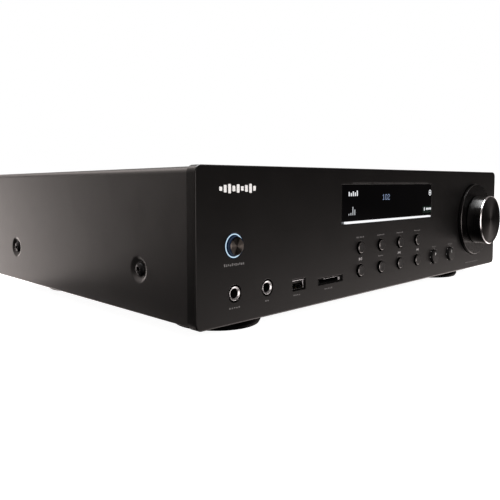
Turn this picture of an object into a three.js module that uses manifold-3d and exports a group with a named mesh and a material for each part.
// Stereo receiver: a moulded front panel on a folded steel case, with its controls,
// sockets, feet, rear connectors and the main pieces that it holds inside.
//
// Everything on the case is placed in the case frame: x from the centre line,
// y backwards from the front panel's face, z upwards from the panel's lower edge.
// The part's own origin is on the floor, below the middle of its bounding box.

import * as THREE from 'three';
import { mergeVertices } from 'three/addons/utils/BufferGeometryUtils.js';
import Module from 'manifold-3d';

const wasm = await Module();
wasm.setup();

// ---------------------------------------------------------------- driving dimensions (mm)

const GAP = 0.3;            // clearance between neighbouring pieces
const THROUGH = 1;          // how far a cutter runs past the face that it opens
const CASE_DEPTH = 295;     // front panel face to the cover's rear edge
const FLOOR_GAP = 10.7;     // floor to the front panel's lower edge
const KNOB_PROUD = 17;      // volume knob's front in front of the panel face
const POST_PROUD = 17;      // binding posts behind the cover's rear edge

const PANEL = { width: 430, height: 98.3, depth: 8, plate: 3, rim: 3, corner: 5 };
const COVER = { halfWidth: 214, bottom: 1.8, top: 97.4, sheet: 1.2, bend: 4, hem: 1.5, lip: 2 };
const CHASSIS = { halfWidth: 210.2, bottom: 2.5, wall: 46, sheet: 1.2, bend: 2.4 };
const REAR = { halfWidth: 212.5, bottom: 4, top: 95.8, corner: 2.5, sheet: 1.2, recess: 1 };
const SUBFRAME = { halfWidth: 205, bottom: 4.6, top: 93.5, sheet: 1.2, flange: 8, margin: 2 };
const FOOT = { x: 154.3, front: 48, back: 240, radius: 31.8, edge: 3.2, waist: 0.8 };
const FOOT_WELL = { radius: 4.5, depth: 7 };
const VENT = { width: 3, length: 44, pitch: 10, count: 7, x: 95, rows: [150, 210] };

const COVER_SCREW = { z: 31.2, front: 58.7, back: 250.3, head: 4.8, height: 2.4, shank: 1.9, length: 8 };
const DIMPLE = { outer: 10, floor: 6.3, depth: 2.3 };
const SCREW_SOCKET = { radius: 1.7, depth: 1.3, sides: 6 };
const SCREW_DOME = [[1, 0.45], [0.8, 0.85], [0.45, 1]];   // shares of the head's radius and height

const DISPLAY = { halfWidth: 70.5, bottom: 57.9, top: 86, thickness: 2.7 };
const LIGHT_BAR = { bottom: 56.1, top: 57.6, setBack: 0.2 };
const MODULE = { halfWidth: 66, bottom: 59, top: 84.5, front: 3.3, back: 17.6 };

const VOLUME = { x: 162.3, z: 49.9, radius: 24.1, skirtFront: 15.6, chamfer: 1.2, skirtBack: 3.6 };
const BASE_DISC = { radius: 35.5, proud: 3, groove: 0.8, bore: 5.2, edge: 0.6 };
const ENCODER = { bushing: 4.6, bore: 3.3, shaft: 3, nose: -2.6, size: 14, front: 10, back: 17.6 };
const TONE = { xs: [77, 110], z: 18.9, hole: 6.6, radius: 5.9, proud: 2, round: 0.6, stem: 1.9, grip: 4.4 };
const TONE_POINTER = { width: 1, depth: 0.5, start: 1.8 };
const TONE_POT = { bushing: 3.4, bore: 2.2, nose: 3.3, size: 11, front: 10, back: 17.6 };

const POWER = { x: -183.3, z: 48.9, ring: 7.7, ringInner: 6.3, cap: 6, proud: 2.5, travel: 1.5 };
const BUTTON = { pitch: 30, columns: 4, rows: [36.8, 18.9], hole: 5.2, cap: 4.75, proud: 0.9, travel: 0.7 };
const JACKS = { headphone_jack: -183, microphone_jack: -153.2 };
const JACK = { z: 19.2, ring: 4.5, bore: 3.2, hole: 5.2, boreDepth: 21, body: 14, back: 25.6 };
const USB = { x: -120.3, z: 17.2, width: 13.9, height: 7.4, wall: 0.6, depth: 17, mouth: 0.9, back: 2 };
const USB_TONGUE = { width: 11, height: 1.8, below: 1, setBack: 1.5, rootDepth: 1 };
const CARD = { x: -83.9, z: 16.1, width: 30.2, height: 4.2, depth: 17, mouth: 0.6 };
const CARD_SLOT = { width: 25.4, height: 2.3, depth: 15 };

const CONTROL_BOARD = { x0: -60, x1: 195, z0: 8, z1: 90, front: 18, thickness: 1.6 };
const INPUT_BOARD = { x0: -200, x1: -66, z0: 8, z1: 88, front: 27, thickness: 1.6 };
const SWITCH = { size: 6, height: 4.4 };
const MAIN_BOARD = { x0: -40, x1: 200, y0: 60, y1: 280, z: 12, thickness: 1.6 };
const STANDOFF = { radius: 3, inset: 8 };
const TRANSFORMER = { x: -128, y: 160, outer: 50, inner: 14, height: 42, round: 9 };
const HEAT_SINK = { x: 20, y0: 95, y1: 235, width: 44, height: 62, base: 5, fin: 2, fins: 6 };
const CAPACITOR = { xs: [75, 112], y: 110, radius: 15, height: 50, round: 2 };
const TUNER = { x: 165, y: 215, width: 46, depth: 60, height: 14 };

const SPEAKERS = { x: 20, z: 34, width: 92, height: 30, plate: 4, pitch: 20, count: 4 };
const POST = { stud: 3.4, socket: 2.1, studLength: 11, bore: 3.75, cap: 7, grip: 0.7, collar: 3 };
const PHONO = { x: 118, z: 46, width: 66, height: 46, plate: 3, pitchX: 20, pitchZ: 22, columns: 3 };
const PHONO_SLEEVE = { radius: 4.2, bore: 1.7, length: 9.5 };
const AERIAL = { x: 182, z: 62, plate: 18, thickness: 2.5, radius: 4.8, bore: 1.5, length: 10 };
const INLET = { x: -176, z: 40, flangeWidth: 32, flangeHeight: 25, flange: 2.5, width: 24.6, height: 16.8 };
const INLET_BODY = { wall: 1.6, recess: 16, corner: 3 };
const PIN = { width: 2, height: 4, length: 13, spread: 7, raise: 4 };
const ROCKER = { x: -134, z: 40, width: 13, height: 19, tilt: 7, hub: 2.5, play: 0.6 };
const ROCKER_FRAME = { frame: 2.5, lip: 2, depth: 12, wall: 1, floor: 1.5 };

const SMOOTH = { large: 40, medium: 28, small: 16, tiny: 12 };   // sides on a round piece

// ---------------------------------------------------------------- finishes

function finish(color, roughness, metalness) {
  return { color, roughness, metalness };
}

const SATIN_BLACK = finish(0x1d1b1b, 0.5, 0.1);
const BLACK_STEEL = finish(0x2a2725, 0.45, 0.6);
const GLOSS_BLACK = finish(0x060607, 0.12, 0.1);
const BLACK_PLASTIC = finish(0x101010, 0.6, 0);
const RUBBER = finish(0x141414, 0.85, 0);
const ZINC_STEEL = finish(0xa8aaac, 0.4, 0.9);
const BRIGHT_METAL = finish(0xc8c9cc, 0.25, 1);
const DARK_ALUMINIUM = finish(0x2c2b2c, 0.3, 0.9);
const WHITE_LIGHT = finish(0xf2f6ff, 0.3, 0);
const BOARD_GREEN = finish(0x1f5a35, 0.6, 0.1);
const COPPER = finish(0x9a5a33, 0.5, 0.6);
const SLEEVE_BLUE = finish(0x1b2c4c, 0.4, 0.1);

// ---------------------------------------------------------------- geometry helpers

// A closed solid from a three.js geometry, with shared corners merged and empty triangles dropped.
function solid(geometry) {
  const bare = geometry.clone();
  bare.deleteAttribute('normal');
  bare.deleteAttribute('uv');
  const merged = mergeVertices(bare);
  const index = merged.index.array;
  const kept = [];
  for (let i = 0; i < index.length; i += 3) {
    const [a, b, c] = [index[i], index[i + 1], index[i + 2]];
    if (a !== b && b !== c && c !== a) kept.push(a, b, c);
  }
  const mesh = new wasm.Mesh({
    numProp: 3,
    vertProperties: merged.attributes.position.array,
    triVerts: new Uint32Array(kept),
  });
  return new wasm.Manifold(mesh);
}

// A geometry from a cut or joined solid.
function geometryOf(body) {
  const mesh = body.getMesh();
  const geometry = new THREE.BufferGeometry();
  geometry.setAttribute('position', new THREE.BufferAttribute(mesh.vertProperties, 3));
  geometry.setIndex(new THREE.BufferAttribute(mesh.triVerts, 1));
  geometry.computeVertexNormals();
  return geometry;
}

function cutAll(body, cutters) {
  return cutters.reduce((rest, cutter) => rest.subtract(cutter), body);
}

function joinAll(bodies) {
  return bodies.reduce((whole, body) => whole.add(body));
}

// A box between two corners.
function slab([x0, x1], [y0, y1], [z0, z1]) {
  const geometry = new THREE.BoxGeometry(x1 - x0, y1 - y0, z1 - z0);
  geometry.translate((x0 + x1) / 2, (y0 + y1) / 2, (z0 + z1) / 2);
  return solid(geometry);
}

function around(centre, size) {
  return [centre - size / 2, centre + size / 2];
}

// A rounded rectangle as a closed outline.
function roundedRect([x0, x1], [z0, z1], radius) {
  const outline = new THREE.Shape();
  outline.absarc(x1 - radius, z0 + radius, radius, -Math.PI / 2, 0);
  outline.absarc(x1 - radius, z1 - radius, radius, 0, Math.PI / 2);
  outline.absarc(x0 + radius, z1 - radius, radius, Math.PI / 2, Math.PI);
  outline.absarc(x0 + radius, z0 + radius, radius, Math.PI, Math.PI * 1.5);
  return outline;
}

// An outline in x and z, pushed from y0 to y1.
function alongY(outline, [y0, y1], curveSegments = 5) {
  const settings = { depth: y1 - y0, bevelEnabled: false, curveSegments };
  const geometry = new THREE.ExtrudeGeometry(outline, settings);
  geometry.rotateX(Math.PI / 2);
  geometry.translate(0, y1, 0);
  return solid(geometry);
}

// An outline in y and z, pushed from x0 to x1.
function alongX(outline, [x0, x1], curveSegments = 5) {
  const settings = { depth: x1 - x0, bevelEnabled: false, curveSegments };
  const geometry = new THREE.ExtrudeGeometry(outline, settings);
  const [acrossX, alongDepth, up] = [0, 1, 2].map((i) => new THREE.Vector3().setComponent(i, 1));
  geometry.applyMatrix4(new THREE.Matrix4().makeBasis(alongDepth, up, acrossX));
  geometry.translate(x0, 0, 0);
  return solid(geometry);
}

// A profile of [radius, y] points turned about the y axis.
function turned(profile, sides) {
  const points = profile.map(([radius, y]) => new THREE.Vector2(radius, y));
  return solid(new THREE.LatheGeometry(points, sides));
}

// A round rod along y.
function rod(radius, [y0, y1], sides, x = 0, z = 0) {
  return turned([[0, y0], [radius, y0], [radius, y1], [0, y1]], sides).translate([x, 0, z]);
}

// A round tube along y.
function tube(outer, inner, [y0, y1], sides) {
  return turned([[inner, y0], [outer, y0], [outer, y1], [inner, y1], [inner, y0]], sides);
}

// Points of a quarter round from one edge of a profile to the next.
function quarterRound(centreRadius, centreY, size, fromAngle, steps = 3) {
  return Array.from({ length: steps + 1 }, (_, i) => {
    const angle = fromAngle + (Math.PI / 2) * (i / steps);
    return [centreRadius + size * Math.cos(angle), centreY + size * Math.sin(angle)];
  });
}

// The same solid with its y axis stood up along z.
function upright(body) {
  return body.rotate([90, 0, 0]);
}

// ---------------------------------------------------------------- scene graph

const receiver = new THREE.Group();
const caseFrame = new THREE.Group();
const rearFrame = new THREE.Group();
const panelY = KNOB_PROUD - (KNOB_PROUD + CASE_DEPTH + POST_PROUD) / 2;
caseFrame.position.set(0, panelY, FLOOR_GAP);
rearFrame.position.set(0, CASE_DEPTH - REAR.recess, 0);
receiver.add(caseFrame);
caseFrame.add(rearFrame);

function place(parent, name, body, look, [x, y, z] = [0, 0, 0]) {
  const mesh = new THREE.Mesh(geometryOf(body), new THREE.MeshStandardMaterial(look));
  mesh.name = name;
  mesh.position.set(x, y, z);
  parent.add(mesh);
  return mesh;
}

// ---------------------------------------------------------------- enclosure

function buttonPlaces() {
  const places = [];
  for (const [row, z] of BUTTON.rows.entries()) {
    for (let column = 0; column < BUTTON.columns; column += 1) {
      const x = (column - (BUTTON.columns - 1) / 2) * BUTTON.pitch;
      const level = row === 0 ? 'upper' : 'lower';
      places.push({ name: `button_${level}_${column + 1}`, x, z });
    }
  }
  return places;
}

// Rods that open the panel for every round control and jack.
function roundOpenings(span) {
  const openings = [
    rod(POWER.ring + GAP, span, SMOOTH.medium, POWER.x, POWER.z),
    rod(BASE_DISC.bore + GAP, span, SMOOTH.medium, VOLUME.x, VOLUME.z),
  ];
  for (const x of TONE.xs) openings.push(rod(TONE.hole, span, SMOOTH.small, x, TONE.z));
  for (const x of Object.values(JACKS)) openings.push(rod(JACK.hole, span, SMOOTH.small, x, JACK.z));
  for (const { x, z } of buttonPlaces()) openings.push(rod(BUTTON.hole, span, SMOOTH.small, x, z));
  return openings;
}

function socketOpening(socket, span) {
  const x = around(socket.x, socket.width + 2 * GAP);
  const z = around(socket.z, socket.height + 2 * GAP);
  return slab(x, span, z);
}

function frontPanel() {
  const half = PANEL.width / 2;
  const outside = roundedRect([-half, half], [0, PANEL.height], PANEL.corner);
  const insideX = [PANEL.rim - half, half - PANEL.rim];
  const insideZ = [PANEL.rim, PANEL.height - PANEL.rim];
  const inside = roundedRect(insideX, insideZ, PANEL.corner - PANEL.rim);
  const span = [-THROUGH, PANEL.plate + THROUGH];
  const window = DISPLAY.halfWidth + GAP;
  return cutAll(alongY(outside, [0, PANEL.depth]), [
    alongY(inside, [PANEL.plate, PANEL.depth + THROUGH]),
    slab([-window, window], span, [LIGHT_BAR.bottom - GAP, DISPLAY.top + GAP]),
    tube(BASE_DISC.radius + BASE_DISC.groove, BASE_DISC.radius, [-THROUGH, BASE_DISC.groove], SMOOTH.large)
      .translate([VOLUME.x, 0, VOLUME.z]),
    ...roundOpenings(span),
    socketOpening(USB, span),
    socketOpening(CARD, span),
  ]);
}

// The cover's section: a flat top, two sides and a short folded lip along each lower edge.
function coverSection() {
  const { halfWidth, bottom, top, sheet, bend, hem, lip } = COVER;
  const bendX = halfWidth - bend;
  const bendZ = top - bend;
  const hemX = halfWidth - hem;
  const hemZ = bottom + hem;
  const section = new THREE.Shape();
  section.moveTo(lip - hemX, bottom);
  section.absarc(-hemX, hemZ, hem, -Math.PI / 2, -Math.PI, true);
  section.absarc(-bendX, bendZ, bend, Math.PI, Math.PI / 2, true);
  section.absarc(bendX, bendZ, bend, Math.PI / 2, 0, true);
  section.absarc(hemX, hemZ, hem, 0, -Math.PI / 2, true);
  section.lineTo(hemX - lip, bottom);
  section.lineTo(hemX - lip, bottom + sheet);
  section.absarc(hemX, hemZ, hem - sheet, -Math.PI / 2, 0);
  section.absarc(bendX, bendZ, bend - sheet, 0, Math.PI / 2);
  section.absarc(-bendX, bendZ, bend - sheet, Math.PI / 2, Math.PI);
  section.absarc(-hemX, hemZ, hem - sheet, Math.PI, Math.PI * 1.5);
  section.lineTo(lip - hemX, bottom + sheet);
  return section;
}

// A cone frustum along x, wide at the outside, for the right (+1) or left (-1) side.
function sideCone(side, wide, narrow, fromX, toX, y, z) {
  const profile = [[0, toX], [narrow, toX], [wide, fromX], [0, fromX]];
  return turned(profile, SMOOTH.small).rotate([0, 0, -90 * side]).translate([0, y, z]);
}

function screwPlaces() {
  const places = [];
  for (const side of [-1, 1]) {
    for (const end of ['front', 'back']) {
      const name = `cover_screw_${side < 0 ? 'left' : 'right'}_${end}`;
      places.push({ name, side, y: COVER_SCREW[end], z: COVER_SCREW.z });
    }
  }
  return places;
}

function ventSlots() {
  const slots = [];
  for (const side of [-1, 1]) {
    for (const y of VENT.rows) {
      for (let i = 0; i < VENT.count; i += 1) {
        const x = side * VENT.x + (i - (VENT.count - 1) / 2) * VENT.pitch;
        const z = [COVER.top - COVER.sheet - THROUGH, COVER.top + THROUGH];
        slots.push(slab(around(x, VENT.width), around(y, VENT.length), z));
      }
    }
  }
  return slots;
}

function topCover() {
  let cover = alongY(coverSection(), [PANEL.depth + GAP, CASE_DEPTH]);
  const { outer, floor, depth } = DIMPLE;
  const face = COVER.halfWidth;
  const hole = COVER_SCREW.shank + GAP;
  for (const { side, y, z } of screwPlaces()) {
    const inward = face - depth;
    cover = cover
      .add(sideCone(side, outer, floor, face - COVER.sheet / 2, inward - COVER.sheet, y, z))
      .subtract(sideCone(side, outer, floor, face + GAP, inward, y, z))
      .subtract(sideCone(side, hole, hole, face, inward - COVER.sheet - THROUGH, y, z));
  }
  return cutAll(cover, ventSlots());
}

function chassisBase() {
  const { halfWidth, bottom, wall, sheet, bend } = CHASSIS;
  const bendX = halfWidth - bend;
  const bendZ = bottom + bend;
  const section = new THREE.Shape();
  section.moveTo(-halfWidth, wall);
  section.absarc(-bendX, bendZ, bend, Math.PI, Math.PI * 1.5);
  section.absarc(bendX, bendZ, bend, -Math.PI / 2, 0);
  section.lineTo(halfWidth, wall);
  section.lineTo(halfWidth - sheet, wall);
  section.absarc(bendX, bendZ, bend - sheet, 0, -Math.PI / 2, true);
  section.absarc(-bendX, bendZ, bend - sheet, -Math.PI / 2, -Math.PI, true);
  section.lineTo(sheet - halfWidth, wall);
  const front = PANEL.depth + SUBFRAME.sheet + 2 * GAP;
  const back = CASE_DEPTH - REAR.recess - REAR.sheet - GAP;
  const hole = COVER_SCREW.shank + GAP;
  const holes = screwPlaces().map(({ side, y, z }) => {
    return sideCone(side, hole, hole, halfWidth + THROUGH, halfWidth - sheet - THROUGH, y, z);
  });
  return cutAll(alongY(section, [front, back]), holes);
}

// The sheet behind the panel, with a square-cornered window for each group of controls.
function frontSubframe() {
  const { halfWidth, bottom, top, sheet, flange, margin } = SUBFRAME;
  const y0 = PANEL.depth + GAP;
  const span = [y0 - THROUGH, y0 + sheet + THROUGH];
  const plate = slab([-halfWidth, halfWidth], [y0, y0 + sheet], [bottom, top]);
  const ledge = slab([-halfWidth, halfWidth], [y0, y0 + flange], [top - sheet, top]);
  const window = MODULE.halfWidth + margin;
  const bankX = (BUTTON.columns * BUTTON.pitch) / 2;
  const [upperRow, lowerRow] = BUTTON.rows;
  const squareAt = (x, z, size) => slab(around(x, size), span, around(z, size));
  return cutAll(plate.add(ledge), [
    slab([-window, window], span, [MODULE.bottom - margin, MODULE.top + margin]),
    slab([-bankX, bankX], span, [lowerRow - BUTTON.cap, upperRow + BUTTON.cap]),
    squareAt(POWER.x, POWER.z, 2 * POWER.cap),
    squareAt(VOLUME.x, VOLUME.z, 2 * ENCODER.bushing + margin),
    ...TONE.xs.map((x) => squareAt(x, TONE.z, 2 * TONE_POT.bushing + margin)),
    ...Object.values(JACKS).map((x) => squareAt(x, JACK.z, JACK.body + margin)),
    socketOpening(USB, span),
    socketOpening(CARD, span),
  ]);
}

function rearPanel() {
  const { halfWidth, bottom, top, corner, sheet } = REAR;
  const outline = roundedRect([-halfWidth, halfWidth], [bottom, top], corner);
  const span = [-sheet - THROUGH, THROUGH];
  const frameX = around(ROCKER.x, ROCKER.width + 2 * GAP);
  const frameZ = around(ROCKER.z, ROCKER.height + 2 * GAP);
  const inletX = around(INLET.x, INLET.width + 2 * (INLET_BODY.wall + GAP));
  const inletZ = around(INLET.z, INLET.height + 2 * (INLET_BODY.wall + GAP));
  return cutAll(alongY(outline, [-sheet, 0]), [
    slab(frameX, span, frameZ),
    slab(inletX, span, inletZ),
  ]);
}

function foot() {
  const { radius, edge, waist } = FOOT;
  const height = FLOOR_GAP + CHASSIS.bottom - GAP;
  const profile = [
    [0, FOOT_WELL.depth],
    [FOOT_WELL.radius, FOOT_WELL.depth],
    [FOOT_WELL.radius, 0],
    ...quarterRound(radius - edge, edge, edge, -Math.PI / 2),
    [radius - waist, height],
    [0, height],
  ];
  return upright(turned(profile, SMOOTH.medium));
}

// A round-headed cover screw, its head outwards along +y.
function coverScrew() {
  const { head, height, shank, length } = COVER_SCREW;
  const profile = [
    [0, -length],
    [shank, -length],
    [shank, 0],
    [head, 0],
    ...SCREW_DOME.map(([share, rise]) => [head * share, height * rise]),
    [0, height],
  ];
  const { radius, depth, sides } = SCREW_SOCKET;
  const socket = rod(radius, [height - depth, height + THROUGH], sides);
  return turned(profile, SMOOTH.small).subtract(socket);
}

place(caseFrame, 'front_panel', frontPanel(), SATIN_BLACK);
place(caseFrame, 'top_cover', topCover(), BLACK_STEEL);
place(caseFrame, 'chassis_base', chassisBase(), BLACK_STEEL);
place(caseFrame, 'front_subframe', frontSubframe(), ZINC_STEEL);
place(rearFrame, 'rear_panel', rearPanel(), BLACK_STEEL);

for (const [side, x] of [['left', -FOOT.x], ['right', FOOT.x]]) {
  for (const end of ['front', 'back']) {
    place(caseFrame, `foot_${end}_${side}`, foot(), RUBBER, [x, FOOT[end], -FLOOR_GAP]);
  }
}

for (const { name, side, y, z } of screwPlaces()) {
  const seat = COVER.halfWidth - DIMPLE.depth + GAP;
  const screw = place(caseFrame, name, coverScrew(), BLACK_STEEL, [side * seat, y, z]);
  screw.rotation.z = (-side * Math.PI) / 2;
}

// ---------------------------------------------------------------- display

function displayWindow() {
  const { halfWidth, bottom, top, thickness } = DISPLAY;
  return slab([-halfWidth, halfWidth], [0, thickness], [bottom, top]);
}

function lightBar() {
  const { bottom, top, setBack } = LIGHT_BAR;
  return slab([-DISPLAY.halfWidth, DISPLAY.halfWidth], [setBack, DISPLAY.thickness], [bottom, top]);
}

function displayModule() {
  const { halfWidth, bottom, top, front, back } = MODULE;
  return slab([-halfWidth, halfWidth], [front, back], [bottom, top]);
}

place(caseFrame, 'display_window', displayWindow(), GLOSS_BLACK);
place(caseFrame, 'display_light_bar', lightBar(), WHITE_LIGHT);
place(caseFrame, 'display_module', displayModule(), BLACK_PLASTIC);

// ---------------------------------------------------------------- volume control

function volumeKnobSkirt() {
  const { radius, skirtFront, skirtBack } = VOLUME;
  const wall = 2.4;
  const hub = 6;
  const web = 3;
  return turned([
    [ENCODER.shaft + GAP, -skirtFront],
    [radius, -skirtFront],
    [radius, -skirtBack],
    [radius - wall, -skirtBack],
    [radius - wall, web - skirtFront],
    [hub, web - skirtFront],
    [hub, -skirtBack - GAP],
    [ENCODER.shaft + GAP, -skirtBack - GAP],
    [ENCODER.shaft + GAP, -skirtFront],
  ], SMOOTH.large);
}

function volumeKnobCap() {
  const { radius, skirtFront, chamfer } = VOLUME;
  return turned([
    [0, -KNOB_PROUD],
    [radius - chamfer, -KNOB_PROUD],
    [radius, chamfer * 0.75 - KNOB_PROUD],
    [radius, -skirtFront - GAP],
    [0, -skirtFront - GAP],
  ], SMOOTH.large);
}

function volumeBaseDisc() {
  const { radius, proud, bore, edge } = BASE_DISC;
  return turned([
    [bore, -proud],
    [radius - edge, -proud],
    [radius, edge - proud],
    [radius, -GAP],
    [bore, -GAP],
    [bore, -proud],
  ], SMOOTH.large);
}

// An encoder or potentiometer: a square body with a hollow threaded nose.
function shaftControl(control) {
  const { bushing, bore, nose, size, front, back } = control;
  const body = slab(around(0, size), [front, back], around(0, size));
  const sleeve = rod(bushing, [nose, front + GAP], SMOOTH.small);
  const well = rod(bore, [nose - THROUGH, back - THROUGH], SMOOTH.small);
  return body.add(sleeve).subtract(well);
}

const volumeSpot = [VOLUME.x, 0, VOLUME.z];
place(caseFrame, 'volume_knob', volumeKnobSkirt(), GLOSS_BLACK, volumeSpot);
place(caseFrame, 'volume_knob_cap', volumeKnobCap(), DARK_ALUMINIUM, volumeSpot);
place(caseFrame, 'volume_shaft', rod(ENCODER.shaft, [-VOLUME.skirtFront, ENCODER.front], SMOOTH.small),
  ZINC_STEEL, volumeSpot);
place(caseFrame, 'volume_base_disc', volumeBaseDisc(), SATIN_BLACK, volumeSpot);
place(caseFrame, 'volume_encoder', shaftControl(ENCODER), ZINC_STEEL, volumeSpot);

// ---------------------------------------------------------------- tone controls

// A small knob with its own stem, a shoulder behind the panel and a pointer slot.
function toneKnob() {
  const { radius, proud, round, stem } = TONE;
  const stemEnd = TONE_POT.front + TONE.grip;
  const knob = turned([
    [0, -proud],
    [radius - round, -proud],
    [radius, round - proud],
    [radius, PANEL.plate - GAP * 2],
    [stem, PANEL.plate - GAP * 2],
    [stem, stemEnd],
    [0, stemEnd],
  ], SMOOTH.small);
  const { width, depth, start } = TONE_POINTER;
  const pointer = slab(around(0, width), [-proud - THROUGH, depth - proud], [start, radius + THROUGH]);
  return knob.subtract(pointer);
}

for (const [i, name] of ['bass', 'treble'].entries()) {
  const spot = [TONE.xs[i], 0, TONE.z];
  place(caseFrame, `${name}_knob`, toneKnob(), SATIN_BLACK, spot);
  place(caseFrame, `${name}_potentiometer`, shaftControl(TONE_POT), ZINC_STEEL, spot);
}

// ---------------------------------------------------------------- buttons

// A push cap that stands proud of the panel, with a retaining shoulder and a stem to its switch.
function pushCap(cap, proud, shoulder, stemEnd) {
  const round = 0.5;
  const stem = 1.8;
  const shoulderFront = PANEL.plate + GAP;
  const shoulderBack = shoulderFront + 1.5;
  return turned([
    [0, -proud],
    [cap - round, -proud],
    [cap, round - proud],
    [cap, shoulderFront],
    [shoulder, shoulderFront],
    [shoulder, shoulderBack],
    [stem, shoulderBack],
    [stem, stemEnd],
    [0, stemEnd],
  ], SMOOTH.small);
}

const buttonStemEnd = CONTROL_BOARD.front - SWITCH.height - BUTTON.travel - GAP;
for (const { name, x, z } of buttonPlaces()) {
  const cap = pushCap(BUTTON.cap, BUTTON.proud, BUTTON.hole + 0.8, buttonStemEnd);
  place(caseFrame, name, cap, SATIN_BLACK, [x, 0, z]);
}

const powerSpot = [POWER.x, 0, POWER.z];
const powerStemEnd = INPUT_BOARD.front - SWITCH.height - POWER.travel - GAP;
place(caseFrame, 'power_button', pushCap(POWER.cap, POWER.proud, POWER.cap + 0.8, powerStemEnd),
  DARK_ALUMINIUM, powerSpot);
place(caseFrame, 'power_light_ring', tube(POWER.ring, POWER.ringInner, [0, PANEL.plate], SMOOTH.medium),
  WHITE_LIGHT, powerSpot);

// ---------------------------------------------------------------- front sockets

function jack() {
  const { ring, bore, boreDepth, body, back } = JACK;
  const bodyFront = PANEL.plate + GAP;
  const outside = slab(around(0, body), [bodyFront, back], around(0, body))
    .add(rod(ring, [0, bodyFront + GAP], SMOOTH.small));
  return outside.subtract(rod(bore, [-THROUGH, boreDepth], SMOOTH.small));
}

function usbSocket() {
  const { width, height, wall, depth, mouth, back } = USB;
  const shell = slab(around(0, width), [mouth, depth], around(0, height));
  const cavityWidth = width - 2 * wall;
  const cavityHeight = height - 2 * wall;
  const cavity = slab(around(0, cavityWidth), [mouth - THROUGH, depth - back], around(0, cavityHeight));
  const tongueTop = cavityHeight / 2 - USB_TONGUE.below;
  const tongue = slab(
    around(0, USB_TONGUE.width),
    [mouth + USB_TONGUE.setBack, depth - USB_TONGUE.rootDepth],
    [tongueTop - USB_TONGUE.height, tongueTop],
  );
  return shell.subtract(cavity).add(tongue);
}

function cardSlot() {
  const { width, height, depth, mouth } = CARD;
  const slot = slab(around(0, CARD_SLOT.width), [-THROUGH, CARD_SLOT.depth], around(0, CARD_SLOT.height));
  return slab(around(0, width), [mouth, depth], around(0, height)).subtract(slot);
}

for (const [name, x] of Object.entries(JACKS)) {
  place(caseFrame, name, jack(), BRIGHT_METAL, [x, 0, JACK.z]);
}
place(caseFrame, 'usb_socket', usbSocket(), BRIGHT_METAL, [USB.x, 0, USB.z]);
place(caseFrame, 'sd_card_slot', cardSlot(), BLACK_PLASTIC, [CARD.x, 0, CARD.z]);

// ---------------------------------------------------------------- boards and inner pieces

function boardWithSwitches(board, switches) {
  const { x0, x1, z0, z1, front, thickness } = board;
  const plate = slab([x0, x1], [front, front + thickness], [z0, z1]);
  const switchY = [front - SWITCH.height, front + GAP];
  const bumps = switches.map(({ x, z }) => slab(around(x, SWITCH.size), switchY, around(z, SWITCH.size)));
  return joinAll([plate, ...bumps]);
}

function mainBoard() {
  const { x0, x1, y0, y1, z, thickness } = MAIN_BOARD;
  const legs = [];
  const floor = CHASSIS.bottom + CHASSIS.sheet + GAP;
  for (const x of [x0 + STANDOFF.inset, x1 - STANDOFF.inset]) {
    for (const y of [y0 + STANDOFF.inset, y1 - STANDOFF.inset]) {
      legs.push(upright(rod(STANDOFF.radius, [floor, z + GAP], SMOOTH.tiny)).translate([x, y, 0]));
    }
  }
  return joinAll([slab([x0, x1], [y0, y1], [z, z + thickness]), ...legs]);
}

function transformer() {
  const { outer, inner, height, round } = TRANSFORMER;
  return upright(turned([
    ...quarterRound(outer - round, round, round, -Math.PI / 2),
    ...quarterRound(outer - round, height - round, round, 0),
    ...quarterRound(inner + round, height - round, round, Math.PI / 2),
    ...quarterRound(inner + round, round, round, Math.PI),
    [outer - round, 0],
  ], SMOOTH.medium));
}

function heatSink() {
  const { y0, y1, width, height, base, fin, fins } = HEAT_SINK;
  const parts = [slab(around(0, width), [y0, y1], [0, base])];
  for (let i = 0; i < fins; i += 1) {
    const x = ((width - fin) * i) / (fins - 1) - (width - fin) / 2;
    parts.push(slab(around(x, fin), [y0, y1], [base / 2, height]));
  }
  return joinAll(parts);
}

function capacitor() {
  const { radius, height, round } = CAPACITOR;
  return upright(turned([
    [0, 0],
    ...quarterRound(radius - round, round, round, -Math.PI / 2),
    ...quarterRound(radius - round, height - round, round, 0),
    [0, height],
  ], SMOOTH.small));
}

const floorTop = CHASSIS.bottom + CHASSIS.sheet + GAP;
const boardTop = MAIN_BOARD.z + MAIN_BOARD.thickness + GAP;
place(caseFrame, 'control_board', boardWithSwitches(CONTROL_BOARD, buttonPlaces()), BOARD_GREEN);
place(caseFrame, 'input_board', boardWithSwitches(INPUT_BOARD, [POWER]), BOARD_GREEN);
place(caseFrame, 'main_board', mainBoard(), BOARD_GREEN);
place(caseFrame, 'transformer', transformer(), COPPER, [TRANSFORMER.x, TRANSFORMER.y, floorTop]);
place(caseFrame, 'heat_sink', heatSink(), ZINC_STEEL, [HEAT_SINK.x, 0, boardTop]);
for (const [i, side] of ['left', 'right'].entries()) {
  const spot = [CAPACITOR.xs[i], CAPACITOR.y, boardTop];
  place(caseFrame, `filter_capacitor_${side}`, capacitor(), SLEEVE_BLUE, spot);
}
place(caseFrame, 'tuner_module',
  slab(around(0, TUNER.width), around(0, TUNER.depth), [0, TUNER.height]),
  ZINC_STEEL, [TUNER.x, TUNER.y, boardTop]);

// ---------------------------------------------------------------- rear connectors

// Binding posts: hollow studs on an insulating plate, each with a screw cap.
function postPlaces() {
  return Array.from({ length: SPEAKERS.count }, (_, i) => {
    return SPEAKERS.x + (i - (SPEAKERS.count - 1) / 2) * SPEAKERS.pitch;
  });
}

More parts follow.
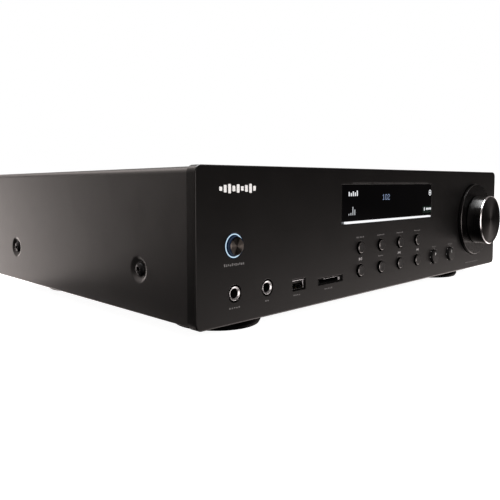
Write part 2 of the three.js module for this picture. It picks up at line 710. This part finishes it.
function speakerTerminalBlock() {
  const { x, z, width, height, plate } = SPEAKERS;
  const studEnd = plate + POST.studLength;
  const base = slab(around(x, width), [GAP, plate], around(z, height));
  const studs = postPlaces().map((postX) => rod(POST.stud, [plate - GAP, studEnd], SMOOTH.tiny, postX, z));
  const sockets = postPlaces().map((postX) => {
    return rod(POST.socket, [plate + THROUGH, studEnd + THROUGH], SMOOTH.tiny, postX, z);
  });
  return cutAll(joinAll([base, ...studs]), sockets);
}

function postCap() {
  const front = SPEAKERS.plate + GAP * 2;
  const back = POST_PROUD + REAR.recess;
  const end = SPEAKERS.plate + POST.studLength + GAP;
  return turned([
    [POST.bore, front],
    [POST.cap - POST.grip, front],
    [POST.cap - POST.grip, front + POST.collar],
    [POST.cap, front + POST.collar + POST.grip],
    [POST.cap, back - POST.grip],
    [POST.cap - POST.grip, back],
    [POST.socket + GAP, back],
    [POST.socket + GAP, end],
    [POST.bore, end],
    [POST.bore, front],
  ], SMOOTH.small);
}

function phonoSocketBlock() {
  const { x, z, width, height, plate, pitchX, pitchZ, columns } = PHONO;
  const end = plate + PHONO_SLEEVE.length;
  const sleeves = [];
  const bores = [];
  for (let column = 0; column < columns; column += 1) {
    for (const row of [-0.5, 0.5]) {
      const sleeveX = x + (column - (columns - 1) / 2) * pitchX;
      const sleeveZ = z + row * pitchZ;
      sleeves.push(rod(PHONO_SLEEVE.radius, [plate - GAP, end], SMOOTH.tiny, sleeveX, sleeveZ));
      bores.push(rod(PHONO_SLEEVE.bore, [plate, end + THROUGH], SMOOTH.tiny, sleeveX, sleeveZ));
    }
  }
  const base = slab(around(x, width), [GAP, plate], around(z, height));
  return cutAll(joinAll([base, ...sleeves]), bores);
}

function aerialSocket() {
  const { plate, thickness, radius, bore, length } = AERIAL;
  const end = thickness + length;
  return slab(around(0, plate), [GAP, thickness], around(0, plate))
    .add(rod(radius, [thickness - GAP, end], SMOOTH.small))
    .subtract(rod(bore, [thickness, end + THROUGH], SMOOTH.tiny));
}

// A three-pin mains inlet: a flange, a deep recess and its pins.
function mainsInlet() {
  const { flangeWidth, flangeHeight, flange, width, height } = INLET;
  const { wall, recess, corner } = INLET_BODY;
  const floor = flange - recess;
  const recessOutline = roundedRect(around(0, width), around(0, height), corner);
  const pinY = [floor - GAP, floor + PIN.length];
  const pin = (x, z) => slab(around(x, PIN.width), pinY, around(z, PIN.height));
  return slab(around(0, flangeWidth), [GAP, flange], around(0, flangeHeight))
    .add(slab(around(0, width + 2 * wall), [floor - wall, 2 * GAP], around(0, height + 2 * wall)))
    .subtract(alongY(recessOutline, [floor, flange + THROUGH]))
    .add(pin(-PIN.spread, 0))
    .add(pin(PIN.spread, 0))
    .add(pin(0, PIN.raise));
}

function mainsSwitchFrame() {
  const { width, height } = ROCKER;
  const { frame, lip, depth, wall, floor } = ROCKER_FRAME;
  const outside = slab(around(0, width + 2 * lip), [GAP, frame], around(0, height + 2 * lip))
    .add(slab(around(0, width), [-depth, 2 * GAP], around(0, height)));
  const wellY = [floor - depth, frame + THROUGH];
  const well = slab(around(0, width - 2 * wall), wellY, around(0, height - 2 * wall));
  return outside.subtract(well);
}

// A rocker with two faces that meet at a shallow angle over its pivot.
function mainsRocker() {
  const { width, height, tilt, hub, play } = ROCKER;
  const { frame, wall } = ROCKER_FRAME;
  const halfHeight = height / 2 - wall - play;
  const slope = Math.tan((tilt * Math.PI) / 180) * halfHeight;
  const outline = new THREE.Shape();
  outline.moveTo(frame + slope, -halfHeight);
  outline.lineTo(frame, 0);
  outline.lineTo(frame + slope, halfHeight);
  outline.lineTo(-frame, halfHeight);
  outline.absarc(-frame, 0, hub, Math.PI / 2, Math.PI * 1.5);
  outline.lineTo(-frame, -halfHeight);
  return alongX(outline, around(0, width - 2 * wall - play));
}

place(rearFrame, 'speaker_terminal_block', speakerTerminalBlock(), BLACK_PLASTIC);
for (const [i, x] of postPlaces().entries()) {
  place(rearFrame, `speaker_post_cap_${i + 1}`, postCap(), GLOSS_BLACK, [x, 0, SPEAKERS.z]);
}
place(rearFrame, 'phono_socket_block', phonoSocketBlock(), BLACK_PLASTIC);
place(rearFrame, 'aerial_socket', aerialSocket(), BRIGHT_METAL, [AERIAL.x, 0, AERIAL.z]);
place(rearFrame, 'mains_inlet', mainsInlet(), BLACK_PLASTIC, [INLET.x, 0, INLET.z]);
place(rearFrame, 'mains_switch_frame', mainsSwitchFrame(), BLACK_PLASTIC, [ROCKER.x, 0, ROCKER.z]);
const rocker = place(rearFrame, 'mains_rocker', mainsRocker(), GLOSS_BLACK, [ROCKER.x, 0, ROCKER.z]);
rocker.rotation.x = (ROCKER.tilt * Math.PI) / 180;

export default receiver;
